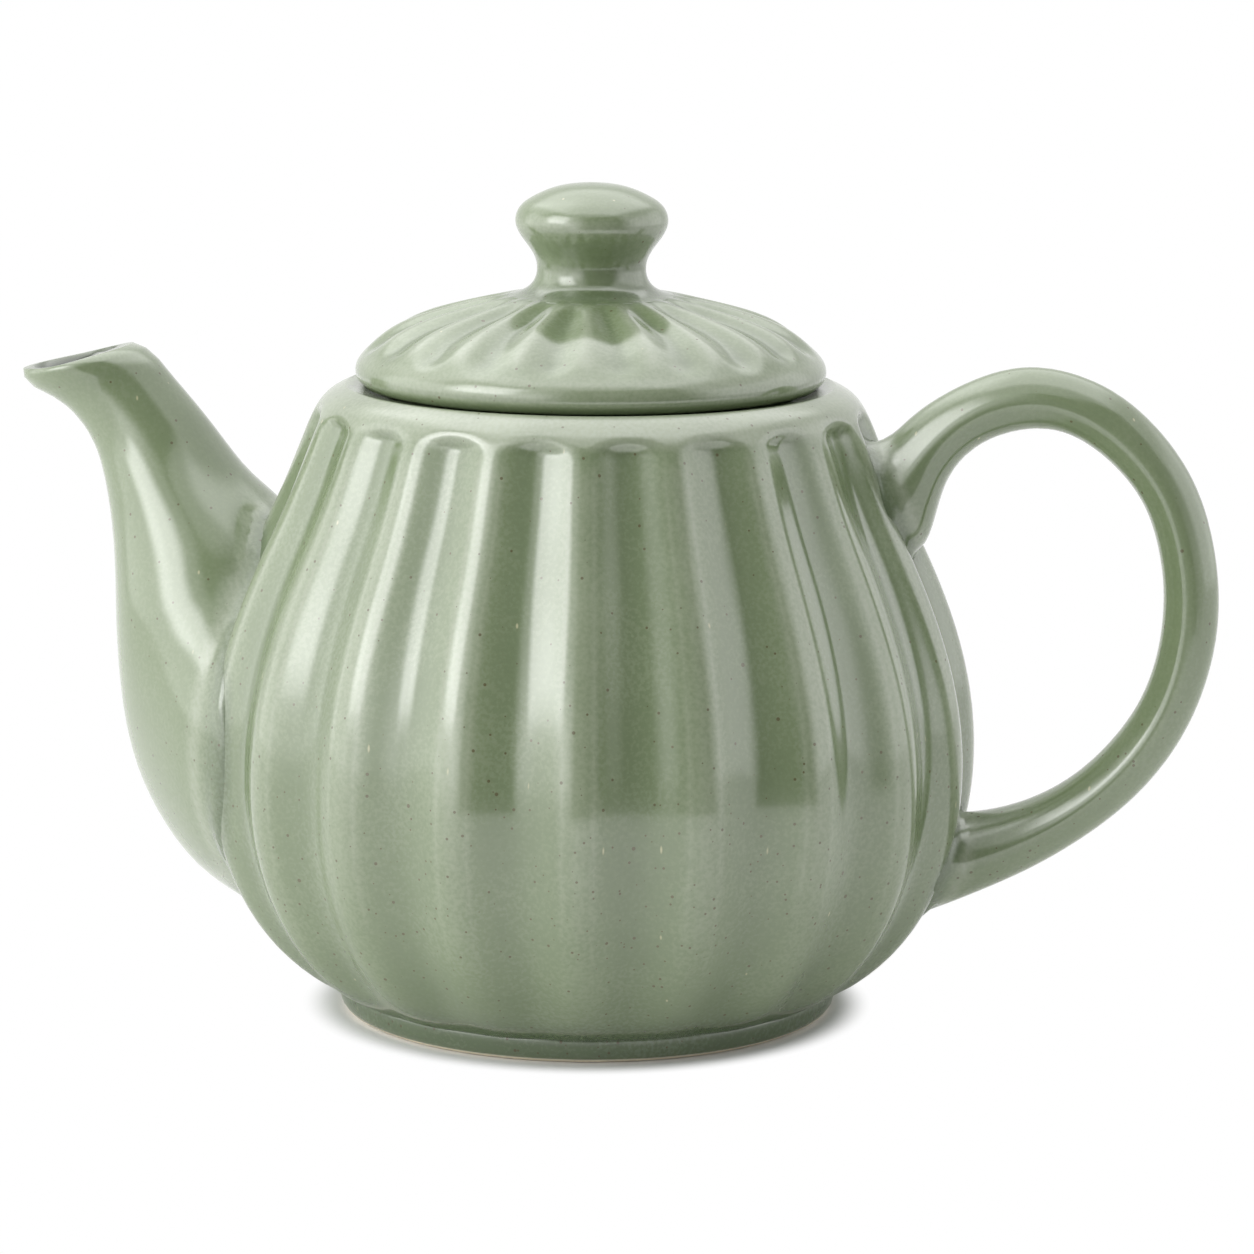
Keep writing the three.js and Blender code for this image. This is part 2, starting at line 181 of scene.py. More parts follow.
def turned(name: str, profile: np.ndarray, columns: int) -> bpy.types.Object:
    """Turns a half section round the upright axis, as a wheel does.

    Args:
        name: The piece's name.
        profile: Rows of radius and height, ending on the axis or back where they began.
        columns: How many steps one turn takes.

    Returns:
        The piece, in edit units of millimetres.
    """
    last = len(profile) - 1
    piece = start_point(name)
    bpy.ops.mesh.extrude_region_move(TRANSFORM_OT_translate={"value": (0, 0, last)})
    bpy.ops.mesh.select_all(action="SELECT")
    bpy.ops.mesh.subdivide(number_cuts=last - 1)
    bpy.ops.object.mode_set(mode="OBJECT")

    def section(points: np.ndarray) -> np.ndarray:
        """Lays the line's vertices along the half section."""
        row = profile[np.round(points[:, 2]).astype(int)]
        return np.column_stack([row[:, 0], np.zeros(len(row)), row[:, 1]])

    reshape(piece, section)
    bpy.ops.object.mode_set(mode="EDIT")
    bpy.ops.mesh.select_all(action="SELECT")
    bpy.ops.mesh.remove_doubles(threshold=MERGE)
    bpy.ops.mesh.spin(steps=columns, angle=2 * math.pi, center=(0, 0, 0), axis=(0, 0, 1))
    bpy.ops.mesh.select_all(action="SELECT")
    bpy.ops.mesh.remove_doubles(threshold=MERGE)
    bpy.ops.mesh.normals_make_consistent(inside=False)
    bpy.ops.object.mode_set(mode="OBJECT")
    return piece


def drawn(name: str, rings: np.ndarray) -> bpy.types.Object:
    """Draws a tube out of a circle, then gives each ring its own outline.

    Args:
        name: The piece's name.
        rings: Rings of points, an array of rings by sides by three.

    Returns:
        The piece, an open tube in edit units of millimetres.
    """
    count, sides = rings.shape[:2]
    bpy.ops.object.select_all(action="DESELECT")
    bpy.ops.mesh.primitive_circle_add(vertices=sides, radius=1)
    piece = bpy.context.active_object
    piece.name = name
    bpy.ops.object.mode_set(mode="EDIT")
    bpy.ops.mesh.extrude_region_move(TRANSFORM_OT_translate={"value": (0, 0, count - 1)})
    bpy.ops.mesh.select_mode(type="EDGE")
    bpy.ops.mesh.select_all(action="DESELECT")
    bpy.ops.object.mode_set(mode="OBJECT")
    heights = places(piece)[:, 2]
    for edge in piece.data.edges:
        edge.select = abs(heights[edge.vertices[0]] - heights[edge.vertices[1]]) > 0.5
    bpy.ops.object.mode_set(mode="EDIT")
    bpy.ops.mesh.subdivide(number_cuts=count - 2)
    bpy.ops.object.mode_set(mode="OBJECT")
    paint(piece, "along", places(piece)[:, 2] / (count - 1))

    def outline(points: np.ndarray) -> np.ndarray:
        """Finds each vertex's ring and side.

        Args:
            points: The plain tube's vertices, their heights counting its rings.

        Returns:
            Each vertex's place on the limb.
        """
        turn = np.arctan2(points[:, 1], points[:, 0]) / (2 * math.pi)
        side = np.round(turn * sides).astype(int) % sides
        return rings[np.round(points[:, 2]).astype(int), side]

    reshape(piece, outline)
    return piece


def places(piece: bpy.types.Object) -> np.ndarray:
    """Reads where a piece's vertices lie.

    Args:
        piece: The piece.

    Returns:
        Their places, one row each.
    """
    points = np.empty(len(piece.data.vertices) * 3)
    piece.data.vertices.foreach_get("co", points)
    return points.reshape(-1, 3)


def reshape(piece: bpy.types.Object, rule: Callable[[np.ndarray], np.ndarray]) -> None:
    """Moves every vertex of a piece by a rule, as fingers move clay.

    Args:
        piece: The piece.
        rule: Takes the vertices' places and returns their new ones.
    """
    piece.data.vertices.foreach_set("co", rule(places(piece)).ravel())
    piece.data.update()


def paint(piece: bpy.types.Object, name: str, values: np.ndarray) -> None:
    """Keeps one value from 0 to 1 for each vertex, for the material to read."""
    layer = piece.data.attributes.new(name, "FLOAT", "POINT")
    layer.data.foreach_set("value", np.clip(values, 0, 1).astype(np.float32))


def pierce(
    piece: bpy.types.Object,
    hole: str,
    sides: int,
    radius: float,
    depth: float,
    place: Place,
    turn: Place = (0, 0, 0),
) -> None:
    """Cuts a round hole into a piece.

    Args:
        piece: The piece.
        hole: The hole's name.
        sides: How many sides stand for the round.
        radius: The hole's radius.
        depth: The drill's length.
        place: The drill's middle.
        turn: The drill's turn from upright.
    """
    bpy.ops.object.select_all(action="DESELECT")
    bpy.ops.mesh.primitive_cylinder_add(
        vertices=sides, radius=radius, depth=depth, location=place, rotation=turn
    )
    drill = bpy.context.active_object
    select_only(piece)
    cut = piece.modifiers.new(hole, "BOOLEAN")
    cut.object = drill
    cut.operation = "DIFFERENCE"
    cut.solver = "EXACT"
    bpy.ops.object.modifier_apply(modifier=cut.name)
    bpy.data.objects.remove(drill)


def trim(piece: bpy.types.Object, unwanted: np.ndarray, bridge: bool) -> None:
    """Cuts away the faces whose vertices are all unwanted and closes what that opens.

    Args:
        piece: The piece.
        unwanted: True for each vertex that may go.
        bridge: Whether the two edges that open are joined to each other, or each filled.
    """
    select_only(piece)
    loops = np.empty(len(piece.data.loops), int)
    piece.data.loops.foreach_get("vertex_index", loops)
    gone = unwanted[loops.reshape(-1, 4)].all(axis=1)
    bpy.ops.object.mode_set(mode="EDIT")
    bpy.ops.mesh.select_mode(type="FACE")
    bpy.ops.mesh.select_all(action="DESELECT")
    bpy.ops.object.mode_set(mode="OBJECT")
    piece.data.polygons.foreach_set("select", gone)
    bpy.ops.object.mode_set(mode="EDIT")
    bpy.ops.mesh.delete(type="FACE")
    bpy.ops.mesh.select_mode(type="VERT")
    bpy.ops.mesh.select_all(action="DESELECT")
    bpy.ops.mesh.select_non_manifold()
    if bridge:
        bpy.ops.mesh.bridge_edge_loops()
    else:
        bpy.ops.mesh.fill_holes(sides=0)
    bpy.ops.mesh.select_all(action="SELECT")
    bpy.ops.mesh.normals_make_consistent(inside=False)
    bpy.ops.object.mode_set(mode="OBJECT")


def limb_rings(
    rows: np.ndarray, sides: int, wall: float, spine: float, lean: np.ndarray
) -> np.ndarray:
    """Makes the rings of a curved limb whose two edges lie in the plane of spout and handle.

    Args:
        rows: For each ring, the outer edge's x and z, the inner edge's x and z, and half its width.
        sides: Points in one ring.
        wall: How far inside the limb's skin the rings lie.
        spine: How far a soft ridge stands out along each side, as a share of the half width.
        lean: For each ring, how far its widest place lies towards the inner edge.

    Returns:
        An array of rings by sides by three.
    """
    outer, inner = rows[:, 0:2], rows[:, 2:4]
    across = outer - inner
    length = np.linalg.norm(across, axis=1, keepdims=True)
    across = across / length
    centre = (outer + inner) / 2
    turn = np.arange(sides) * 2 * math.pi / sides
    ridge = 1 + spine * bell(np.abs(np.sin(turn)), 1, 0.05)
    rings = np.empty((len(rows), sides, 3))
    reach = (length / 2 - wall) * np.cos(turn)
    rings[:, :, 0] = centre[:, :1] + across[:, :1] * reach
    rings[:, :, 2] = centre[:, 1:] + across[:, 1:] * reach
    rings[:, :, 1] = -(rows[:, 4:5] - wall) * np.sin(turn) * ridge * (1 - lean * np.cos(turn))
    return rings


# Pieces


@dataclass
class PotShell:
    """The pot's fired wall: fluted outside, smooth inside, with the seat for the lid."""

    crest: Rows = (
        (46.8, 4.1),
        (48.2, 5.1),
        (50.6, 6.4),
        (54.2, 8.8),
        (61.5, 16.0),
        (67.5, 26.0),
        (71.3, 38.0),
        (72.3, 50.0),
        (71.1, 62.0),
        (67.9, 74.0),
        (63.0, 86.0),
        (57.3, 98.0),
        (53.2, 108.0),
        (51.3, 112.3),
        (48.9, 115.6),
        (45.2, 117.6),
    )
    rim_and_seat: Rows = (
        (44.5, 117.5),
        (44.1, 117.2),
        (44.1, 117.0),
        (37.7, 117.0),
        (37.2, 116.8),
        (37.0, 116.3),
        (37.0, 113.4),
        (37.4, 112.8),
        (43.6, 109.4),
        (45.4, 108.0),
    )
    wall: float = 6.0
    floor: float = 8.9
    flute_depth: float = 3.0
    arch_start: float = 111.2
    arch_height: float = 3.2
    foot_depth: float = 0.45
    foot_run: Span = (3.5, 15.0)
    fluted_from: float = 4.0
    hollow: Span = (14.0, 106.0)
    port_radius: float = 14.0
    port_place: Place = (-70.0, 0.0, 49.9)
    port_depth: float = 30.0
    columns: int = 480
    samples: int = 301

    def outside(self) -> np.ndarray:
        """Returns the half section of the outside, along a ridge's crest, finest at the top."""
        fine = smooth_path(self.crest, self.samples)
        return fine[(np.arange(self.samples) % 3 == 0) | (fine[:, 1] > self.arch_start - 5)]

    def depth(self, radius: np.ndarray, height: np.ndarray, angle: np.ndarray) -> np.ndarray:
        """Gives how far the outside has sunk below a ridge's crest.

        Args:
            radius: The crest's radius.
            height: The height above the table.
            angle: The angle round the axis.

        Returns:
            The depths.
        """
        full = self.flute_depth * radius / max(r for r, _ in self.crest)
        run = self.foot_depth + (full - self.foot_depth) * ramp(height, *self.foot_run)
        beyond = (height - self.arch_start) / self.arch_height
        return run * flute_share(angle * FLUTES / (2 * math.pi), beyond)

    def clearance(self, points: np.ndarray) -> np.ndarray:
        """Measures how far points lie outside the fluted surface.

        Args:
            points: The points, one row each.

        Returns:
            The distances, below 0 inside.
        """
        section = self.outside()
        radius = np.interp(points[:, 2], section[:, 1], section[:, 0], right=0)
        slope = np.gradient(section[:, 0], section[:, 1])
        lean = np.interp(points[:, 2], section[:, 1], slope)
        angle = np.arctan2(points[:, 1], points[:, 0])
        surface = radius - self.depth(radius, points[:, 2], angle)
        return (np.hypot(points[:, 0], points[:, 1]) - surface) / np.hypot(1, lean)

    def build(self) -> bpy.types.Object:
        """Turns the shell, presses its flutes and cuts the port behind the spout.

        Returns:
            The shell.
        """
        outside = self.outside()
        inside = smooth_path(self.crest, 40)[::-1] - (self.wall, 0)
        low, high = self.hollow
        inside = inside[(inside[:, 1] < high) & (inside[:, 1] > low)]
        profile = np.concatenate(
            [
                [(0, 3.9), (20, 3.9), (39, 3.9), (45.9, 3.9)],
                outside,
                self.rim_and_seat,
                inside,
                [(52.0, 12.2), (49.0, 10.2), (45.5, self.floor)],
                [(30, self.floor), (12, self.floor), (1.5, self.floor), (0, self.floor)],
            ]
        )
        shell = turned("pot_shell", profile, self.columns)

        def flute(points: np.ndarray) -> np.ndarray:
            """Sinks the outside into its flutes.

            Args:
                points: The plain shell's vertices.

            Returns:
                The fluted shell's.
            """
            radius = np.hypot(points[:, 0], points[:, 1])
            crest = np.interp(points[:, 2], outside[:, 1], outside[:, 0])
            out = (np.abs(radius - crest) < 0.2) & (points[:, 2] > self.fluted_from)
            angle = np.arctan2(points[:, 1], points[:, 0])
            sink = np.where(out, self.depth(crest, points[:, 2], angle), 0)
            moved = points.copy()
            moved[:, :2] *= (1 - sink / np.maximum(radius, 1))[:, None]
            return moved

        reshape(shell, flute)
        turn = (0, math.pi / 2, 0)
        pierce(shell, "port", 72, self.port_radius, self.port_depth, self.port_place, turn)
        return shell

    def dress(self, shell: bpy.types.Object, limbs: Sequence[bpy.types.Object]) -> None:
        """Paints thin glaze on ridges and edges, pooled glaze, and painted shade near the foot.

        Args:
            shell: The shell.
            limbs: The spout and the handle, whose joints the glaze pools along.
        """
        points = places(shell)
        height, off = points[:, 2], off_flute(points)
        radius = np.hypot(points[:, 0], points[:, 1])
        section = self.outside()
        crest = np.interp(height, section[:, 1], section[:, 0])
        skin = self.flute_depth + 0.3  # how deep below a crest the outside can lie
        out = (crest - radius < skin) & (height > self.fluted_from)
        ridge = 0.4 * bell(off, RIDGE, 2.4) + 0.3 * bell(off, 6.6, 0.5)
        ridge = ridge * ramp(height, 8, 60) * (1 - ramp(height, 106, 114))
        edge = ramp(height, 111.5, 113.5) * 0.55
        paint(shell, "thin", np.where(out, ridge + edge, 0))
        pool = np.where(out, 0.35 * bell(off, 0, 5), 0.2)
        # Darker towards the foot: glaze that has run down, and painted shade near the floor.
        pool = np.maximum(pool, 1 - ramp(height, 5, 12))
        reach, seam = 3.0, 2.5  # how far from a joint is looked at, and how far the pool reaches
        for limb in limbs:
            tree = BVHTree.FromObject(limb, bpy.context.evaluated_depsgraph_get())
            for i in np.flatnonzero(out & (np.abs(points[:, 1]) < 40)):
                gap = tree.find_nearest(Vector(points[i]), reach)[3]
                if gap is not None:
                    pool[i] = max(pool[i], 1 - gap / seam)
        paint(shell, "pool", pool)


@dataclass
class FootRing:
    """The turned foot: a glazed band over a bare rim."""

    section: Rows = (
        (46.3, 6.2),
        (46.9, 4.2),
        (46.8, 2.8),
        (46.5, 1.5),
        (45.9, 0.6),
        (45.1, 0.15),
        (44.6, 0.0),
        (43.0, 0.0),
        (41.0, 0.0),
        (40.2, 0.3),
        (39.8, 1.2),
        (39.4, 2.6),
        (39.2, 3.9),
        (39.2, 5.2),
        (46.3, 6.2),
    )

    def build(self) -> bpy.types.Object:
        """Turns the ring."""
        return turned("foot_band", np.asarray(self.section), 240)

    def dress(self, ring: bpy.types.Object) -> None:
        """Paints the band dark all round: glaze run down and pooled, and painted shade."""
        # Painted shade with pooled glaze: the pool colour all round the band.
        paint(ring, "pool", np.ones(len(ring.data.vertices)))


@dataclass
class LidShell:
    """The lid's domed shell with its flutes, its rolled rim and the flange beneath."""

    dome: Rows = (
        (13.4, 134.45),
        (17.4, 133.75),
        (24.6, 132.1),
        (31.3, 130.2),
        (37.3, 127.4),
        (41.6, 123.7),
        (43.45, 121.0),
        (43.3, 119.0),
        (41.7, 117.35),
    )
    under: Rows = (
        (40.6, 117.3),
        (37.2, 117.3),
        (36.6, 117.0),
        (36.4, 116.4),
        (36.4, 109.0),
        (36.1, 108.3),
        (35.4, 108.0),
        (34.2, 108.0),
        (33.5, 108.3),
        (33.2, 109.0),
        (33.2, 118.0),
        (32.6, 120.5),
        (30.8, 124.0),
        (26.0, 127.2),
        (18.0, 129.6),
        (8.0, 130.6),
        (1.5, 130.8),
        (0.0, 130.8),
    )
    flute_depth: float = 1.25
    arch_start: float = 38.0
    arch_length: float = 4.6
    flute_start: Span = (13.5, 24.0)
    vent_radius: float = 1.5
    vent_place: Place = (0.0, 23.1, 131.0)
    vent_depth: float = 14.0
    columns: int = 400

    def build(self) -> bpy.types.Object:
        """Turns the lid, presses its flutes and pierces the small vent on its far side.

        Returns:
            The lid.
        """
        top = [(0, 134.5), (1.5, 134.5), (6, 134.5), (11, 134.5)]
        profile = np.concatenate([top, smooth_path(self.dome, 76), self.under])
        shell = turned("lid_shell", profile, self.columns)

        def flute(points: np.ndarray) -> np.ndarray:
            """Sinks the dome's top into its flutes.

            Args:
                points: The plain lid's vertices.

            Returns:
                The fluted lid's.
            """
            radius = np.hypot(points[:, 0], points[:, 1])
            turn = np.arctan2(points[:, 1], points[:, 0]) * FLUTES / (2 * math.pi)
            share = flute_share(turn, (radius - self.arch_start) / self.arch_length)
            top = points[:, 2] > 132.5 - 0.0055 * radius**2
            run = self.flute_depth * ramp(radius, *self.flute_start) * top
            moved = points.copy()
            moved[:, 2] -= run * share
            return moved

        reshape(shell, flute)
        pierce(shell, "vent", 24, self.vent_radius, self.vent_depth, self.vent_place)
        return shell

    def dress(self, shell: bpy.types.Object) -> None:
        """Paints where the glaze is thin, on ridges and the rim, and where it has pooled.

        Args:
            shell: The lid.
        """
        points = places(shell)
        radius, off = np.hypot(points[:, 0], points[:, 1]), off_flute(points)
        top = points[:, 2] > 119
        fluted = ramp(radius, 15, 22) * (1 - ramp(radius, self.arch_start, 41.5)) * top
        ridge = bell(off, RIDGE, 2.5) * fluted
        rim = bell(radius, 42.8, 1.4) * top
        paint(shell, "thin", 0.6 * ridge + 0.35 * rim)
        groove = 0.5 * bell(off, 0, 3) * fluted
        root = bell(radius, 14.5, 1.6) * top
        paint(shell, "pool", groove + 0.6 * root)


@dataclass
class LidKnob:
    """The mushroom knob, its neck flaring into the lid."""

    section: Rows = (
        (15.6, 134.0),
        (13.0, 134.75),
        (11.0, 136.2),
        (10.1, 138.4),
        (10.3, 140.6),
        (11.6, 143.0),
        (13.3, 145.4),
        (14.1, 147.8),
        (13.4, 150.1),
        (10.6, 152.3),
        (6.0, 154.1),
        (0.0, 154.8),
    )

    def build(self) -> bpy.types.Object:
        """Turns the knob.

        Returns:
            The knob.
        """
        side = smooth_path(self.section, 90)
        side[-1] = (0, side[-1, 1])
        foot = [(0, 133.0), (1.5, 133.0), (8, 133.0), (14.5, 133.2), (15.3, 133.6)]
        return turned("knob", np.concatenate([foot, side]), 192)

    def dress(self, knob: bpy.types.Object) -> None:
        """Paints where the glaze is thin, round the head, and where it has pooled.

        Args:
            knob: The knob.
        """
        height = places(knob)[:, 2]
        paint(knob, "thin", 0.4 * bell(height, 147.6, 1.6))
        paint(knob, "pool", 0.7 * bell(height, 135.0, 1.2))


@dataclass
class Limb:
    """A limb that is luted to the pot, hollow where it has a wall.

    Each row holds the outer edge's x and z, the inner edge's x and z, and half the limb's width.
    At a hollow limb's mouth, heel draws the channel in from the outer edge and throat is half the
    width that the channel is cut from. Lean sets the widest place towards the inner edge, and sunk
    is how far into the pot's wall the limb ends.
    """

    name: str
    rows: Rows
    steps: int
    sides: int
    fillet: float
    spine: float
    wall: float = 0.0
    heel: float = 0.0
    throat: float = 0.0
    lean: float = 0.0
    lean_ends: Span = (44.0, 76.0)
    mouth: Span = (108.0, 117.0)
    throat_from: Span = (102.0, 111.0)
    sunk: float = 1.6

    def flare(self, rings: np.ndarray, pot: PotShell) -> np.ndarray:
        """Spreads a limb's skin where it meets the pot, so that the glaze runs over the joint.

        Args:
            rings: The limb's rings.
            pot: The pot that it stands on.

        Returns:
            The rings with a fillet at the joint.
        """
        centre = rings.mean(axis=1, keepdims=True)
        outward = rings - centre
        outward /= np.linalg.norm(outward, axis=2, keepdims=True)
        gap = pot.clearance(rings.reshape(-1, 3)).reshape(rings.shape[:2])
        left = np.clip(self.fillet - gap, 0, self.fillet)
        spread = self.fillet - np.sqrt(self.fillet**2 - left**2)
        rise = pot.clearance((rings + outward).reshape(-1, 3)).reshape(gap.shape) - gap
        spread *= np.sqrt(1 - np.clip(rise, 0, 1) ** 2)
        return rings + outward * spread[:, :, None]

    def lip(self, skin: np.ndarray, channel: np.ndarray) -> np.ndarray:
        """Rolls the mouth of a hollow limb over from its skin into its channel.

        Args:
            skin: The skin's rings, the last one at the mouth.
            channel: The channel's rings, the first one at the mouth.

        Returns:
            The rings of the rounded lip.
        """
        start, end = skin[-1], channel[0]
        thick = np.linalg.norm(end - start, axis=1, keepdims=True)
        leave, back = start - skin[-3], end - channel[2]
        leave *= thick / np.linalg.norm(leave, axis=1, keepdims=True)
        back *= thick / np.linalg.norm(back, axis=1, keepdims=True)
        rings = []
        for over, rise in LIP:
            rings.append(start + (end - start) * over + (leave * (1 - over) + back * over) * rise)
        return np.array(rings)

    def build(self, pot: PotShell) -> bpy.types.Object:
        """Draws the limb, flares its roots and cuts it off inside the pot's wall.

        Args:
            pot: The pot that it stands on.

        Returns:
            The limb.
        """
        rows = smooth_path(self.rows, self.steps)
        height = rows[:, 1:2]
        lean = self.lean * (1 - ramp(height, *self.lean_ends))
        skin = limb_rings(rows, self.sides, 0, self.spine, lean)
        rings = self.flare(skin, pot)
        if self.wall:
            bore = rows.copy()
            drawn_in = self.heel * ramp(height, *self.mouth)
            bore[:, 2:4] += (rows[:, :2] - rows[:, 2:4]) * drawn_in
            bore[:, 4:5] += (self.throat - rows[:, 4:5]) * ramp(height, *self.throat_from)
            channel = limb_rings(bore, self.sides, self.wall, 0, lean)[::-1]
            rings = np.concatenate([rings, self.lip(skin, channel), channel])
        limb = drawn(self.name, rings)
        trim(limb, pot.clearance(places(limb)) < -self.sunk, bool(self.wall))
        return limb

    def dress(self, limb: bpy.types.Object, pot: PotShell) -> None:
        """Paints where the glaze has pooled at the joint, painted shade down the channel, and where
        the glaze is thin.

        Args:
            limb: The limb.
            pot: The pot that it stands on.
        """
        points = places(limb)
        gap = pot.clearance(points)
        pool = bell(gap, 0, 1.6)
        thin = 0.6 * bell(gap, 3.2, 1.2)
        if self.wall:
            along = np.empty(len(points), np.float32)
            limb.data.attributes["along"].data.foreach_get("value", along)
            # Rings counted from the start of the lip: below 0 on the skin, then into the channel
            inward = along * (2 * self.steps + LIP_RINGS - 1) - self.steps
            edge = LIP_RINGS - 3
            # Painted shade: the channel below the lip takes the dark pool colour.
            pool = np.maximum(pool, ramp(inward, edge, LIP_RINGS - 1))
            thin = np.where(inward > edge, 0, np.maximum(thin, 0.3 * ramp(inward, -2, 3)))
            # Painted shade: further in, the channel darkens to near black.
            paint(limb, "deep", ramp(inward, edge, LIP_RINGS - 1.5))
        paint(limb, "pool", pool)
        paint(limb, "thin", thin)


SPOUT = Limb(
    name="spout_shell",
    rows=(
        (-51.8, 10.8, -49.6, 19.8, 13.6),
        (-56.8, 12.9, -50.0, 24.0, 17.0),
        (-60.9, 14.7, -50.2, 28.2, 20.2),
        (-69.6, 19.4, -50.5, 38.8, 27.3),
        (-76.9, 25.3, -50.2, 49.4, 31.5),
        (-83.1, 33.8, -50.2, 58.0, 32.5),
        (-88.0, 45.3, -50.6, 67.0, 31.2),
        (-90.0, 59.0, -52.2, 76.5, 27.2),
        (-90.5, 75.9, -55.6, 86.6, 21.8),
        (-91.4, 89.0, -60.3, 93.6, 17.2),
        (-93.4, 99.6, -66.4, 99.2, 13.6),
        (-95.8, 105.3, -71.7, 106.0, 11.2),
        (-99.4, 109.8, -76.4, 111.8, 10.4),
        (-103.6, 112.6, -80.5, 116.5, 10.4),
        (-106.6, 114.0, -83.0, 119.4, 11.1),
        (-108.0, 115.1, -84.5, 120.8, 11.9),
        (-108.6, 116.6, -86.3, 121.8, 12.2),
    ),
    steps=170,
    sides=120,
    fillet=2.2,
    spine=0.0,
    wall=2.9,
    heel=0.07,
    throat=13.2,
    lean=0.45,
)
HANDLE = Limb(
    name="handle_loop",
    rows=(
        (47.0, 107.6, 51.8, 86.4, 8.0),
        (55.4, 109.3, 62.0, 88.9, 7.7),
        (59.2, 112.6, 64.4, 94.5, 6.9),
        (64.3, 116.6, 66.6, 101.6, 6.3),
        (73.0, 121.1, 73.0, 108.8, 6.0),
        (83.9, 122.9, 84.0, 111.8, 5.9),
        (95.3, 119.6, 92.3, 109.2, 5.9),
        (104.2, 112.9, 98.6, 104.0, 5.9),
        (110.6, 104.6, 103.0, 97.8, 5.9),
        (115.2, 92.6, 106.0, 88.2, 5.9),
        (116.8, 79.0, 106.7, 79.0, 5.9),
        (115.4, 68.0, 105.8, 71.0, 5.9),
        (111.2, 56.4, 103.1, 62.6, 6.0),
        (103.6, 45.3, 98.0, 54.5, 6.2),
        (93.6, 36.3, 90.4, 47.0, 6.6),
        (83.0, 29.4, 82.0, 42.2, 7.4),
        (73.0, 24.4, 74.4, 39.9, 8.8),
        (64.6, 20.8, 68.0, 39.2, 10.2),
        (55.0, 17.8, 59.8, 39.6, 10.8),
    ),
    steps=230,
    sides=64,
    fillet=2.0,
    spine=0.05,
)


# Finishes


def plug(tree: bpy.types.NodeTree, socket: bpy.types.NodeSocket, value: object) -> None:
    """Gives a socket a value or a link.

    Args:
        tree: The node tree.
        socket: The socket to fill.
        value: A value, or the output socket to link.
    """
    if isinstance(value, bpy.types.NodeSocket):
        tree.links.new(value, socket)
    else:
        socket.default_value = value


def wire(tree: bpy.types.NodeTree, kind: str, label: str = "", **inputs: object) -> bpy.types.Node:
    """Adds a shader node and fills its sockets.

    Args:
        tree: The node tree.
        kind: The node's type.
        label: The node's label.
        **inputs: For each socket, by its name in lower case with underscores, a value or a socket
            to link. Any other name is one of the node's own settings.

    Returns:
        The node.
    """
    made = tree.nodes.new(kind)
    made.label = label
    sockets = {}
    for socket in made.inputs:
        sockets.setdefault(socket.name.lower().replace(" ", "_"), socket)
    for name, value in inputs.items():
        if name in sockets:
            plug(tree, sockets[name], value)
        else:
            setattr(made, name, value)
    return made


def maths(tree: bpy.types.NodeTree, operation: str, first: object, second: object) -> object:
    """Adds a maths node.

    Args:
        tree: The node tree.
        operation: What it does.
        first: A value, or a socket to link.
        second: Another, which an operation on one value leaves unread.

    Returns:
        The output socket.
    """
    made = tree.nodes.new("ShaderNodeMath")
    made.operation = operation
    for socket, value in zip(made.inputs, (first, second)):
        plug(tree, socket, value)
    return made.outputs[0]


def fit(tree: bpy.types.NodeTree, value: object, source: Span, target: Span) -> object:
    """Maps a value softly from one range to another and returns the output.

    Args:
        tree: The node tree.
        value: The socket to map.
        source: The start and the end of the range that is read.
        target: The results at the start and at the end.

    Returns:
        The output socket.
    """
    made = wire(tree, "ShaderNodeMapRange", interpolation_type="SMOOTHSTEP", value=value)
    for name, number in zip(("From Min", "From Max", "To Min", "To Max"), (*source, *target)):
        made.inputs[name].default_value = number
    return made.outputs[0]


def blended(tree: bpy.types.NodeTree, share: object, first: object, second: object) -> object:
    """Mixes two colours.

    Args:
        tree: The node tree.
        share: The second colour's share, a value or a socket.
        first: The first colour, a value or a socket.
        second: The second colour, a value or a socket.

    Returns:
        The output socket.
    """
    made = tree.nodes.new("ShaderNodeMix")
    made.data_type = "RGBA"
    # Of the node's sockets, 0 is the share and 6 and 7 are the two colours.
    for place, value in ((0, share), (6, first), (7, second)):
        plug(tree, made.inputs[place], value)
    return made.outputs[2]


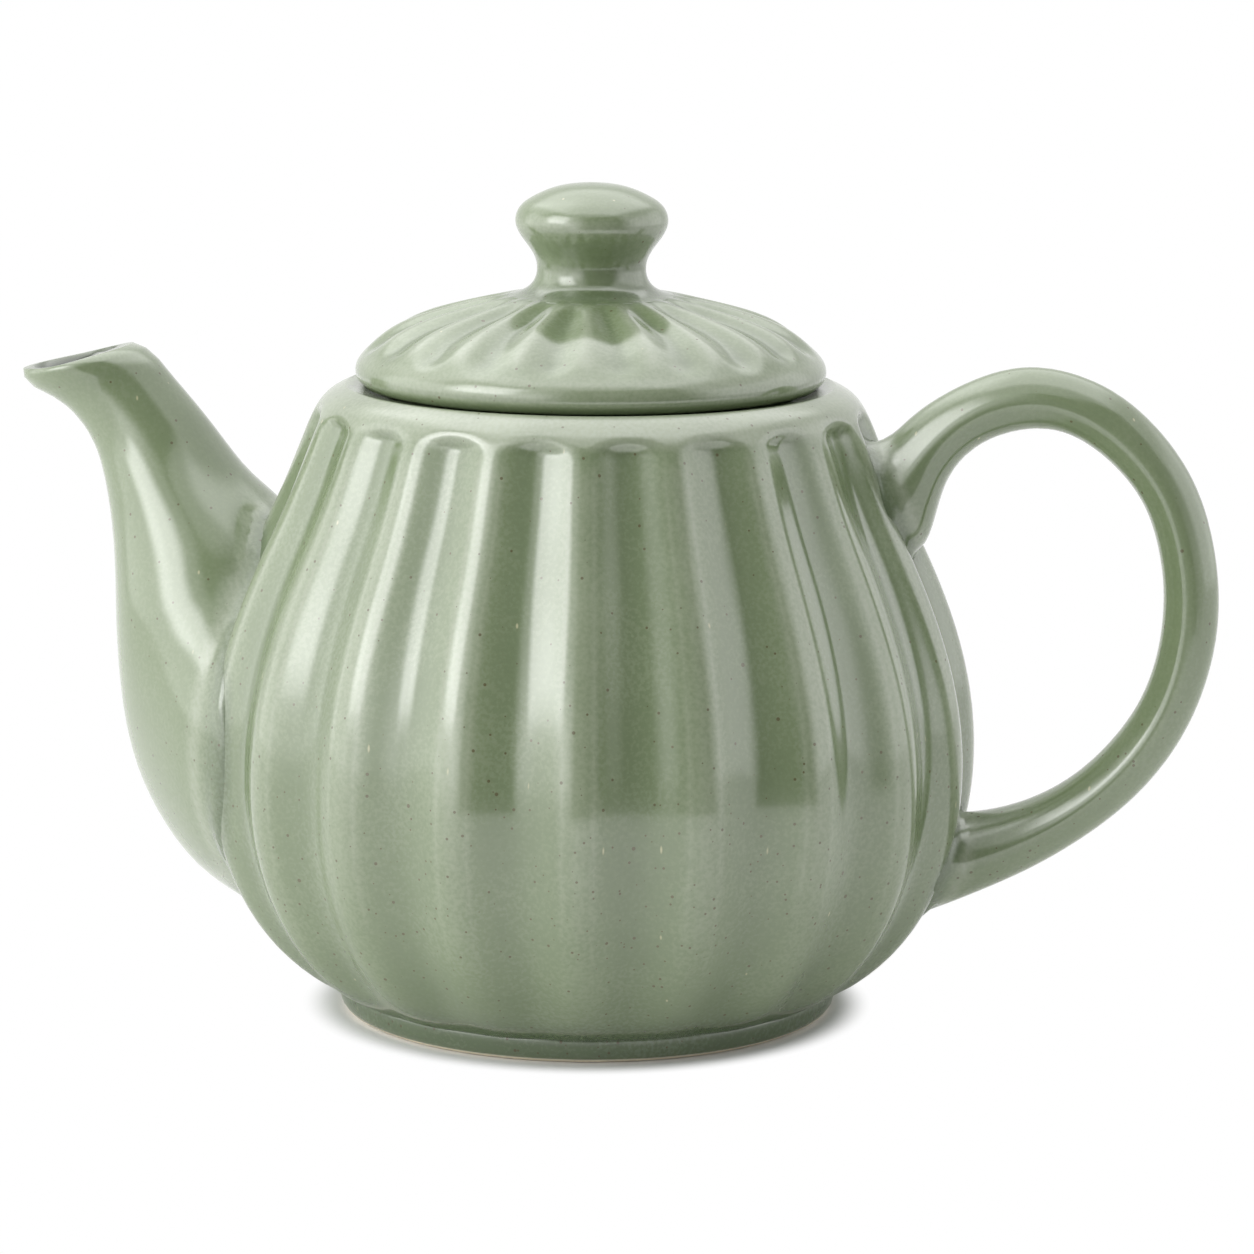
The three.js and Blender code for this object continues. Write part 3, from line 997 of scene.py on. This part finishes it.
def glaze_group() -> bpy.types.NodeTree:
    """Builds the shared glaze effect: clouding, pooling, painted shade, thin ridges and iron
    specks.

    Returns:
        The node group, which puts out a colour, a roughness and a height.
    """
    group = bpy.data.node_groups.new("celadon_effect", "ShaderNodeTree")
    face = group.interface
    for name in ("Base", "Thin Color", "Pool Color", "Deep Color", "Speck Color", "Fleck Color"):
        face.new_socket(name=name, in_out="INPUT", socket_type="NodeSocketColor")
    for name in ("Thin", "Pool", "Deep", "Speck Amount", "Gloss"):
        face.new_socket(name=name, in_out="INPUT", socket_type="NodeSocketFloat")
    face.new_socket(name="Color", in_out="OUTPUT", socket_type="NodeSocketColor")
    for name in ("Roughness", "Height"):
        face.new_socket(name=name, in_out="OUTPUT", socket_type="NodeSocketFloat")
    given = group.nodes.new("NodeGroupInput").outputs
    result = group.nodes.new("NodeGroupOutput").inputs
    spot = group.nodes.new("ShaderNodeTexCoord").outputs["Object"]

    cloud = wire(group, "ShaderNodeTexNoise", "cloud", vector=spot, scale=60.0, detail=4.0)
    grain = wire(group, "ShaderNodeTexNoise", "grain", vector=spot, scale=1300.0, detail=2.0)
    tone = fit(group, cloud.outputs[0], NOISE_SPAN, (-0.06, 0.06))
    tone = maths(group, "ADD", tone, fit(group, grain.outputs[0], NOISE_SPAN, (-0.08, 0.08)))
    # The pool colour darkens pooled glaze, and serves as painted shade near the foot and in the
    # spout's channel.
    pool = maths(group, "SUBTRACT", given["Pool"], tone)
    thin = maths(group, "ADD", given["Thin"], tone)
    colour = blended(group, maths(group, "MAXIMUM", pool, 0), given["Base"], given["Pool Color"])
    colour = blended(group, maths(group, "MAXIMUM", thin, 0), colour, given["Thin Color"])
    # Painted shade: darkens the colour to near black down the spout's channel.
    colour = blended(group, given["Deep"], colour, given["Deep Color"])

    amount = given["Speck Amount"]
    for label, scale, size, share in SPECKS:
        cell = wire(group, "ShaderNodeTexVoronoi", label, vector=spot, scale=scale)
        pick = wire(group, "ShaderNodeSeparateColor", color=cell.outputs["Color"])
        room = maths(group, "MULTIPLY", pick.outputs[0], size)
        inside = maths(group, "SUBTRACT", room, cell.outputs["Distance"])
        dot = fit(group, inside, (0.0, size / 4), (0.0, 1.0))
        kept = maths(group, "LESS_THAN", pick.outputs[1], maths(group, "MULTIPLY", amount, share))
        dot = maths(group, "MULTIPLY", dot, kept)
        colour = blended(group, maths(group, "MULTIPLY", dot, 0.75), colour, given["Speck Color"])
    drawn_out = wire(group, "ShaderNodeMapping", "runs", vector=spot, scale=(1.0, 1.0, 0.28))
    cell = wire(group, "ShaderNodeTexVoronoi", "flecks", vector=drawn_out.outputs[0], scale=260.0)
    pick = wire(group, "ShaderNodeSeparateColor", color=cell.outputs["Color"])
    fleck = fit(group, cell.outputs["Distance"], (0.03, 0.08), (0.8, 0.0))
    fleck = maths(group, "MULTIPLY", fleck, maths(group, "LESS_THAN", pick.outputs[2], 0.4))
    colour = blended(group, fleck, colour, given["Fleck Color"])

    group.links.new(colour, result["Color"])
    uneven = fit(group, cloud.outputs[0], NOISE_SPAN, (-0.02, 0.03))
    group.links.new(maths(group, "ADD", given["Gloss"], uneven), result["Roughness"])
    wave = wire(group, "ShaderNodeTexNoise", "wave", vector=spot, scale=38.0, detail=1.0)
    grit = maths(group, "MULTIPLY", grain.outputs[0], 0.012)
    group.links.new(maths(group, "ADD", wave.outputs[0], grit), result["Height"])
    return group


@dataclass(frozen=True)
class Glaze:
    """A glossy celadon glaze over a pale body."""

    name: str
    base: Color = (0.205, 0.262, 0.142)
    thin: Color = (0.40, 0.445, 0.335)
    # Pooled glaze, also painted shade low on the pot, on the foot and in the spout's channel.
    pool: Color = (0.12, 0.165, 0.085)
    # Painted shade: the near-black colour inside the spout's channel.
    deep: Color = (0.03, 0.045, 0.02)
    speck: Color = (0.10, 0.07, 0.03)
    fleck: Color = (0.56, 0.54, 0.34)
    specks: float = 0.5
    gloss: float = 0.15
    speck_heights: Span = (0.03, 0.085)
    bare_below: float = 0.0
    clay: Color = (0.78, 0.70, 0.54)

    def make(self, group: bpy.types.NodeTree) -> bpy.types.Material:
        """Makes the material round the shared effect.

        Args:
            group: The shared glaze effect.

        Returns:
            The material.
        """
        material = bpy.data.materials.new(self.name)
        material.use_nodes = True
        tree = material.node_tree
        shader = tree.nodes["Principled BSDF"]
        shader.inputs["IOR"].default_value = GLAZE_IOR
        effect = tree.nodes.new("ShaderNodeGroup")
        effect.node_tree = group
        for socket, color in (
            ("Base", self.base),
            ("Thin Color", self.thin),
            ("Pool Color", self.pool),
            ("Deep Color", self.deep),
            ("Speck Color", self.speck),
            ("Fleck Color", self.fleck),
        ):
            effect.inputs[socket].default_value = (*color, 1)
        effect.inputs["Gloss"].default_value = self.gloss
        for socket in ("Thin", "Pool", "Deep"):
            layer = wire(tree, "ShaderNodeAttribute", attribute_name=socket.lower())
            tree.links.new(layer.outputs["Fac"], effect.inputs[socket])
        spot = wire(tree, "ShaderNodeTexCoord").outputs["Object"]
        height = wire(tree, "ShaderNodeSeparateXYZ", vector=spot).outputs["Z"]
        # The specks thin out upwards.
        amount = fit(tree, height, self.speck_heights, (self.specks * 1.5, self.specks * 0.6))
        tree.links.new(amount, effect.inputs["Speck Amount"])
        colour, rough = effect.outputs["Color"], effect.outputs["Roughness"]
        if self.bare_below:
            edge = self.bare_below * MM
            bare = fit(tree, height, (edge * 0.8, edge * 1.2), (1.0, 0.0))
            colour = blended(tree, bare, colour, (*self.clay, 1))
            rough = maths(tree, "MAXIMUM", rough, maths(tree, "MULTIPLY", bare, 0.8))
        tree.links.new(colour, shader.inputs["Base Color"])
        tree.links.new(rough, shader.inputs["Roughness"])
        bump = wire(tree, "ShaderNodeBump", strength=0.2, distance=0.0006)
        tree.links.new(effect.outputs["Height"], bump.inputs["Height"])
        tree.links.new(bump.outputs[0], shader.inputs["Normal"])
        return material


def finish(piece: bpy.types.Object, material: bpy.types.Material, body: Body) -> None:
    """Puts a piece in the model's frame, glazes it and fixes it to its body.

    Args:
        piece: The piece, in millimetres round the pot's axis.
        material: Its finish.
        body: The body that it moves with.
    """
    piece.data.transform(Matrix.Translation((AXIS_X * MM, 0, 0)) @ Matrix.Scale(MM, 4))
    piece.data.materials.clear()
    piece.data.materials.append(material)
    select_only(piece)
    bpy.ops.object.shade_smooth()
    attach(piece, body.value)
    log.info("%s: %d faces on %s", piece.name, len(piece.data.polygons), body.value)


# Stage


@dataclass(frozen=True)
class Lamp:
    """A soft light: where it stands from the camera's direction, its size, brightness and edges."""

    name: str
    azimuth: float
    elevation: float
    away: float
    size: Span
    level: float
    soft: float


@dataclass
class Studio:
    """The pale floor, the soft lights and the camera of the photograph."""

    lamps: Sequence[Lamp] = (
        Lamp("key", -56, 28, 1.4, (1.05, 1.2), 3.2, 0.3),
        Lamp("left_wall", -88, 8, 1.6, (2.3, 1.8), 1.0, 0.2),
        Lamp("left_high", -120, 52, 1.3, (1.4, 1.4), 0.7, 0.3),
        Lamp("left_front", -40, 8, 1.4, (1.5, 1.6), 1.1, 0.45),
        Lamp("fill", 97, 14, 1.4, (2.4, 1.4), 0.6, 0.25),
        Lamp("overhead", 180, 76, 1.3, (2.2, 2.6), 1.15, 0.2),
    )
    lamp_aim: Place = (0, 0, 0.07)
    flag_turn: float = 18
    flag_half: float = 46
    flag_full: float = 24
    flag_reach: Span = (0.38, 1.3)
    flag_height: float = 1.6
    flag_color: Color = (0.12, 0.12, 0.12)

    floor_radius: float = 1.2
    floor_color: Color = (0.94, 0.94, 0.94)
    shadow_edge: Span = (0.0465, 0.054)
    world_levels: Span = (0.47, 1.0)

    camera_place: Place = (0.1567, -0.8707, 0.2331)
    camera_aim: Place = (0.00293, 0.00122, 0.07174)
    camera_roll: float = 0.43
    camera_azimuth: float = -79.5
    lens: float = 138.2
    sensor: float = 36

    def toward(self, azimuth: float, elevation: float) -> Vector:
        """Finds a direction from the pot.

        Args:
            azimuth: Degrees round from the camera.
            elevation: Degrees above the table.

        Returns:
            The direction.
        """
        turn, rise = math.radians(self.camera_azimuth + azimuth), math.radians(elevation)
        flat = math.cos(rise)
        return Vector((math.cos(turn) * flat, math.sin(turn) * flat, math.sin(rise)))

    def softbox(self, lamp: Lamp) -> None:
        """Adds a soft light that faces the pot and dims towards its edges.

        Args:
            lamp: Where the light stands, its size and its brightness.
        """
        width, height = lamp.size
        light = bpy.data.lights.new(lamp.name, "AREA")
        light.shape = "RECTANGLE"
        light.size, light.size_y = width, height
        light.energy = math.pi * width * height
        light.use_nodes = True
        tree = light.node_tree
        place = wire(tree, "ShaderNodeNewGeometry").outputs["Parametric"]
        across = wire(tree, "ShaderNodeSeparateXYZ", vector=place)
        strength = lamp.level
        for side in (across.outputs[0], across.outputs[1]):
            out = maths(tree, "ABSOLUTE", maths(tree, "SUBTRACT", side, 0.5), 0)
            fade = fit(tree, out, (0.5 - lamp.soft, 0.5), (1, 0))
            strength = maths(tree, "MULTIPLY", fade, strength)
        tree.links.new(strength, tree.nodes["Emission"].inputs["Strength"])
        holder = bpy.data.objects.new(lamp.name, light)
        bpy.context.collection.objects.link(holder)
        ahead = self.toward(lamp.azimuth, lamp.elevation)
        holder.location = Vector(self.lamp_aim) + ahead * lamp.away
        holder.rotation_euler = ahead.to_track_quat("Z", "Y").to_euler()
        holder.visible_camera = False

    def add_flag(self) -> None:
        """Lays a dark cloth before the table and up behind the camera, thinning at its sides."""
        bpy.ops.object.select_all(action="DESELECT")
        near, far = self.flag_reach
        start = self.toward(self.flag_turn + self.flag_half, 0)
        bpy.ops.mesh.primitive_plane_add(size=1, location=start * near + Vector((0, 0, MM)))
        flag = bpy.context.active_object
        flag.name = "dark_cloth"
        bpy.ops.object.transform_apply(location=True)
        bpy.ops.object.mode_set(mode="EDIT")
        bpy.ops.mesh.merge(type="CENTER")
        bpy.ops.mesh.extrude_region_move(TRANSFORM_OT_translate={"value": start * (far - near)})
        bpy.ops.mesh.extrude_region_move(TRANSFORM_OT_translate={"value": (0, 0, self.flag_height)})
        bpy.ops.mesh.select_all(action="SELECT")
        turn = math.radians(2 * self.flag_half)
        bpy.ops.mesh.spin(steps=24, angle=turn, center=(0, 0, 0), axis=(0, 0, 1))
        bpy.ops.object.mode_set(mode="OBJECT")
        material = bpy.data.materials.new("black_cloth")
        material.use_nodes = True
        tree = material.node_tree
        shader = tree.nodes["Principled BSDF"]
        shader.inputs["Base Color"].default_value = (*self.flag_color, 1)
        shader.inputs["Roughness"].default_value = 1.0
        spot = wire(tree, "ShaderNodeTexCoord").outputs["Object"]
        part = wire(tree, "ShaderNodeSeparateXYZ", vector=spot).outputs
        middle = math.radians(self.camera_azimuth + self.flag_turn)
        off = maths(tree, "SUBTRACT", maths(tree, "ARCTAN2", part[1], part[0]), middle)
        sides = (math.radians(self.flag_full), math.radians(self.flag_half - 2))
        thick = fit(tree, maths(tree, "ABSOLUTE", off, 0), sides, (1.0, 0.0))
        tree.links.new(thick, shader.inputs["Alpha"])
        flag.data.materials.append(material)
        flag.visible_camera = False

    def add_camera(self) -> None:
        """Adds the camera at the photograph's place, aim and slight roll."""
        place, aim = Vector(self.camera_place), Vector(self.camera_aim)
        ahead = (aim - place).normalized()
        right = ahead.cross(Vector((0, 0, 1))).normalized()
        up = right.cross(ahead)
        roll = math.radians(self.camera_roll)
        tilted = right * math.cos(roll) + up * math.sin(roll)
        up = up * math.cos(roll) - right * math.sin(roll)
        data = bpy.data.cameras.new("camera")
        data.lens = self.lens
        data.sensor_width = self.sensor
        camera = bpy.data.objects.new("camera", data)
        bpy.context.collection.objects.link(camera)
        matrix = Matrix((tilted, up, -ahead)).transposed().to_4x4()
        matrix.translation = place
        camera.matrix_world = matrix
        bpy.context.scene.camera = camera

    def add_floor(self) -> None:
        """Adds the pale floor, which fades to plain white away from the pot's shadow."""
        bpy.ops.object.select_all(action="DESELECT")
        bpy.ops.mesh.primitive_circle_add(
            vertices=96, radius=self.floor_radius, fill_type="NGON"
        )
        floor = bpy.context.active_object
        floor.name = "floor"
        material = bpy.data.materials.new("pale_floor")
        material.use_nodes = True
        tree = material.node_tree
        shader = tree.nodes["Principled BSDF"]
        shader.inputs["Base Color"].default_value = (*self.floor_color, 1)
        shader.inputs["Roughness"].default_value = 0.9
        spot = wire(tree, "ShaderNodeTexCoord").outputs["Object"]
        away = wire(tree, "ShaderNodeVectorMath", operation="DISTANCE")
        tree.links.new(spot, away.inputs[0])
        away.inputs[1].default_value = (AXIS_X * MM, 0, 0)
        fade = fit(tree, away.outputs["Value"], self.shadow_edge, (0.0, 1.0))
        seen = wire(tree, "ShaderNodeLightPath").outputs["Is Camera Ray"]
        white = wire(tree, "ShaderNodeEmission", color=(1, 1, 1, 1), strength=1.0)
        mixed = wire(tree, "ShaderNodeMixShader")
        tree.links.new(maths(tree, "MULTIPLY", fade, seen), mixed.inputs[0])
        tree.links.new(shader.outputs[0], mixed.inputs[1])
        tree.links.new(white.outputs[0], mixed.inputs[2])
        tree.links.new(mixed.outputs[0], tree.nodes["Material Output"].inputs[0])
        floor.data.materials.append(material)

    def add_world(self) -> None:
        """Adds the white surroundings, which give less light than they show."""
        world = bpy.data.worlds.new("surroundings")
        world.use_nodes = True
        bpy.context.scene.world = world
        tree = world.node_tree
        ray = wire(tree, "ShaderNodeLightPath").outputs
        seen = maths(tree, "MAXIMUM", ray["Is Camera Ray"], ray["Is Glossy Ray"])
        seen = maths(tree, "MAXIMUM", seen, ray["Is Transmission Ray"])
        strength = fit(tree, seen, (0.0, 1.0), self.world_levels)
        tree.links.new(strength, tree.nodes["Background"].inputs["Strength"])
        tree.nodes["Background"].inputs["Color"].default_value = (1, 1, 1, 1)

    def build(self) -> None:
        """Sets the stage."""
        bpy.context.scene.view_settings.view_transform = "Standard"
        self.add_world()
        self.add_floor()
        self.add_flag()
        for lamp in self.lamps:
            self.softbox(lamp)
        self.add_camera()


def main() -> None:
    """Builds the teapot's looks, piece by piece, and the studio round it."""
    logging.basicConfig(level=logging.INFO, format="%(message)s")
    effect = glaze_group()
    glaze = Glaze("celadon_glaze").make(effect)
    inner = Glaze("inner_glaze", base=(0.29, 0.355, 0.245), specks=0.25).make(effect)
    foot_glaze = Glaze("foot_glaze", bare_below=0.8).make(effect)

    pot = PotShell()
    shell = pot.build()
    limbs = []
    for limb, node in ((SPOUT, "spout"), (HANDLE, "handle")):
        made = limb.build(pot)
        limb.dress(made, pot)
        limbs.append(made)
        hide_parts(node)
    pot.dress(shell, limbs)
    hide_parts("pot_body", "lid_seat")
    for piece in (shell, *limbs):
        finish(piece, glaze, Body.POT)

    foot_ring = FootRing()
    foot = foot_ring.build()
    foot_ring.dress(foot)
    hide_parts("foot_ring")
    finish(foot, foot_glaze, Body.POT)

    lid = LidShell()
    lid_shell = lid.build()
    lid.dress(lid_shell)
    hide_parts("lid_dome", "lid_flange")
    knob = LidKnob()
    knob_piece = knob.build()
    knob.dress(knob_piece)
    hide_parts("lid_knob")
    for piece in (lid_shell, knob_piece):
        finish(piece, glaze, Body.LID)

    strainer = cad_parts["strainer"]
    strainer.data.materials.clear()
    strainer.data.materials.append(inner)
    Studio().build()


if __name__ == "__main__":
    main()
